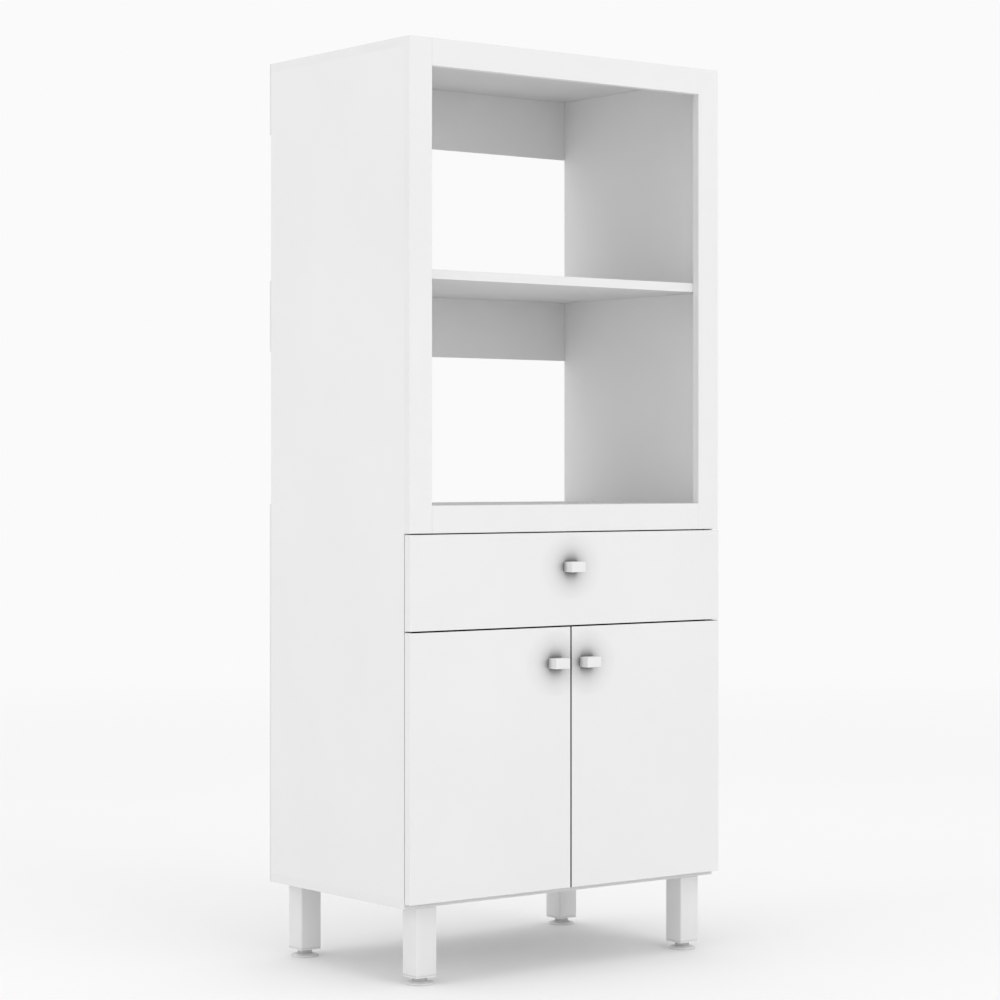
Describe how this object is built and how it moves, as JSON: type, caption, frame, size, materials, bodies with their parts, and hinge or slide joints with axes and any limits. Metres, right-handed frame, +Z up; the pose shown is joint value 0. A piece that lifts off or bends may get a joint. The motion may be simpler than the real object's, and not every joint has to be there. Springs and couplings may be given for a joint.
{
  "type": "microwave cabinet",
  "caption": "Tall white kitchen cabinet: framed open niches for a microwave oven over a drawer and a two-door cupboard, on square legs.",
  "frame": {"origin": "on the floor, midway across the width and midway between the knobs' faces and the hardboard backs", "axes": "+X to the cabinet's right seen from the front, +Y from the fronts to the back, +Z up"},
  "size_m": [0.65, 0.428, 1.505],
  "materials": {
    "white_board": "white melamine-faced chipboard, satin",
    "white_hardboard": "white lacquered hardboard, satin",
    "zinc_steel": "zinc-plated steel",
    "cast_cam": "die-cast zinc",
    "white_knob": "white satin plastic",
    "white_nylon": "white nylon",
    "white_steel": "white epoxy-coated steel",
    "white_leg": "white powder-coated steel tube",
    "beech_dowel": "beech",
    "glide_metal": "nickel-plated steel"
  },
  "bodies": {
    "carcass": {"side_panel_left": "white_board", "side_panel_right": "white_board", "top_board": "white_board", "bottom_board": "white_board", "middle_shelf": "white_board", "niche_floor": "white_board", "cross_rail": "white_board", "frame_stile_left": "white_board", "frame_stile_right": "white_board", "frame_rail_top": "white_board", "frame_rail_bottom": "white_board", "cupboard_shelf": "white_board", "back_strip_upper": "white_hardboard", "back_strip_lower": "white_hardboard", "back_panel": "white_hardboard", "top_screws": "zinc_steel", "back_screws": "zinc_steel", "cam_bolts": "zinc_steel", "shelf_pins": "zinc_steel", "leg_bolts": "zinc_steel", "hinge_plates": "zinc_steel", "hinge_arms": "zinc_steel", "panel_screws": "zinc_steel", "cams": "cast_cam", "leg_plugs": "white_nylon", "cabinet_runner_left": "white_steel", "cabinet_runner_right": "white_steel", "legs": "white_leg", "dowels": "beech_dowel"},
    "drawer": {"drawer_front": "white_board", "drawer_side_left": "white_board", "drawer_side_right": "white_board", "drawer_back": "white_board", "drawer_bottom": "white_hardboard", "drawer_cams": "cast_cam", "drawer_cam_bolts": "zinc_steel", "drawer_screws": "zinc_steel", "drawer_knob": "white_knob", "drawer_knob_screw": "zinc_steel", "drawer_runner_left": "white_steel", "drawer_runner_right": "white_steel", "runner_screws": "zinc_steel"},
    "cabinet_rollers": {"cabinet_rollers": "white_nylon"},
    "drawer_rollers": {"drawer_rollers": "white_nylon"},
    "left_hinge_links": {"hinge_links_left": "zinc_steel"},
    "right_hinge_links": {"hinge_links_right": "zinc_steel"},
    "left_door": {"door_left": "white_board", "hinge_cups_left": "zinc_steel", "cup_screws_left": "zinc_steel", "knob_left": "white_knob", "knob_screw_left": "zinc_steel"},
    "right_door": {"door_right": "white_board", "hinge_cups_right": "zinc_steel", "cup_screws_right": "zinc_steel", "knob_right": "white_knob", "knob_screw_right": "zinc_steel"},
    "glide_front_left": {"glide_front_left": "glide_metal"},
    "glide_front_right": {"glide_front_right": "glide_metal"},
    "glide_rear_left": {"glide_rear_left": "glide_metal"},
    "glide_rear_right": {"glide_rear_right": "glide_metal"}
  },
  "joints": [
    {"name": "drawer_slide", "type": "slide", "parent": "carcass", "child": "drawer", "axis": [0, -1, 0], "range_m": [0, 0.27]},
    {"name": "cabinet_roller_spin", "type": "hinge", "parent": "carcass", "child": "cabinet_rollers", "pos_m": [0, -0.162, 0.5983], "axis": [1, 0, 0], "range_deg": [0, 1548]},
    {"name": "drawer_roller_spin", "type": "hinge", "parent": "drawer", "child": "drawer_rollers", "pos_m": [0, 0.158, 0.5983], "axis": [1, 0, 0], "range_deg": [0, 1548]},
    {"name": "left_link_swing", "type": "hinge", "parent": "carcass", "child": "left_hinge_links", "pos_m": [-0.2993, -0.1723, 0.34775], "axis": [0, 0, 1], "range_deg": [0, 45]},
    {"name": "left_door_swing", "type": "hinge", "parent": "left_hinge_links", "child": "left_door", "pos_m": [-0.3144, -0.1805, 0.34775], "axis": [0, 0, -1], "range_deg": [0, 135]},
    {"name": "right_link_swing", "type": "hinge", "parent": "carcass", "child": "right_hinge_links", "pos_m": [0.2993, -0.1723, 0.34775], "axis": [0, 0, -1], "range_deg": [0, 45]},
    {"name": "right_door_swing", "type": "hinge", "parent": "right_hinge_links", "child": "right_door", "pos_m": [0.3144, -0.1805, 0.34775], "axis": [0, 0, 1], "range_deg": [0, 135]},
    {"name": "glide_front_left_screw", "type": "slide", "parent": "carcass", "child": "glide_front_left", "axis": [0, 0, -1], "range_m": [0, 0.012]},
    {"name": "glide_front_right_screw", "type": "slide", "parent": "carcass", "child": "glide_front_right", "axis": [0, 0, -1], "range_m": [0, 0.012]},
    {"name": "glide_rear_left_screw", "type": "slide", "parent": "carcass", "child": "glide_rear_left", "axis": [0, 0, -1], "range_m": [0, 0.012]},
    {"name": "glide_rear_right_screw", "type": "slide", "parent": "carcass", "child": "glide_rear_right", "axis": [0, 0, -1], "range_m": [0, 0.012]}
  ],
  "couplings": [
    {"joint": "cabinet_roller_spin", "follows": "drawer_slide", "rad_per_m": 100},
    {"joint": "drawer_roller_spin", "follows": "drawer_slide", "rad_per_m": 100},
    {"joint": "left_link_swing", "follows": "left_door_swing", "ratio": 0.3333},
    {"joint": "right_link_swing", "follows": "right_door_swing", "ratio": 0.3333}
  ]
}
